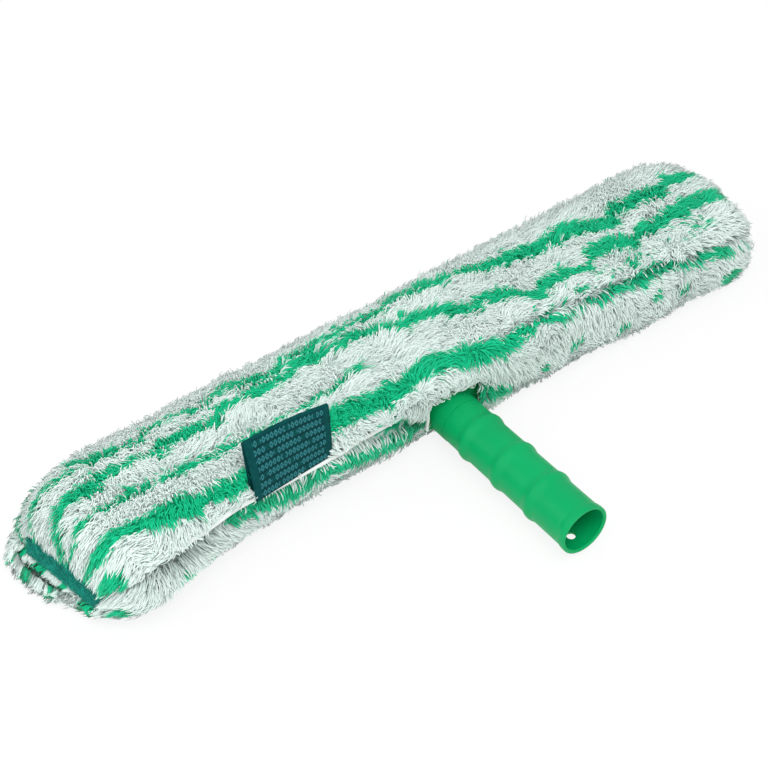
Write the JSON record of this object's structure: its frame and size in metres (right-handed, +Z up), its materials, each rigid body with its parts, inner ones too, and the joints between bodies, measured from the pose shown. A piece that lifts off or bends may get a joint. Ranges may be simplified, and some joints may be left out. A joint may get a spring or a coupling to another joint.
{
  "type": "window scrubber",
  "caption": "T-shaped window washer: a tapered pole handle with a socket on a crossbar inside a long-pile striped sleeve with end scrub pads and a hook-and-loop flap.",
  "frame": {"origin": "middle of the footprint on the surface that the tool lies on", "axes": "+X along the crossbar, away from the label; -Y along the handle, towards its mouth; +Z up, away from the face that the tool lies on"},
  "size_m": [0.4918, 0.1914, 0.0763],
  "materials": {
    "handle_plastic": "smooth moulded plastic, satin gloss",
    "bar_plastic": "moulded plastic",
    "screw_steel": "stainless, countersunk",
    "pile_fabric": "long microfibre pile, white with green stripes",
    "fastener_strip": "hook-and-loop tape",
    "seam_tape": "sewn binding",
    "scrub_pad": "non-woven scouring fibre",
    "label_weave": "woven ribbon"
  },
  "bodies": {
    "scrubber": {"pole_handle": "handle_plastic", "crossbar": "bar_plastic", "handle_screws": "screw_steel", "pile_sleeve": "pile_fabric", "loop_strip": "fastener_strip", "slit_hem": "seam_tape", "left_scrub_pad": "scrub_pad", "right_scrub_pad": "scrub_pad", "front_seam_tape": "seam_tape", "woven_label": "label_weave"},
    "flap": {"closing_flap": "pile_fabric", "hook_strip": "fastener_strip", "flap_hem": "seam_tape"}
  },
  "joints": [
    {"name": "flap_hinge", "type": "hinge", "parent": "scrubber", "child": "flap", "pos_m": [0, 0.01765, 0.009], "axis": [1, 0, 0], "range_deg": [0, 90]}
  ]
}
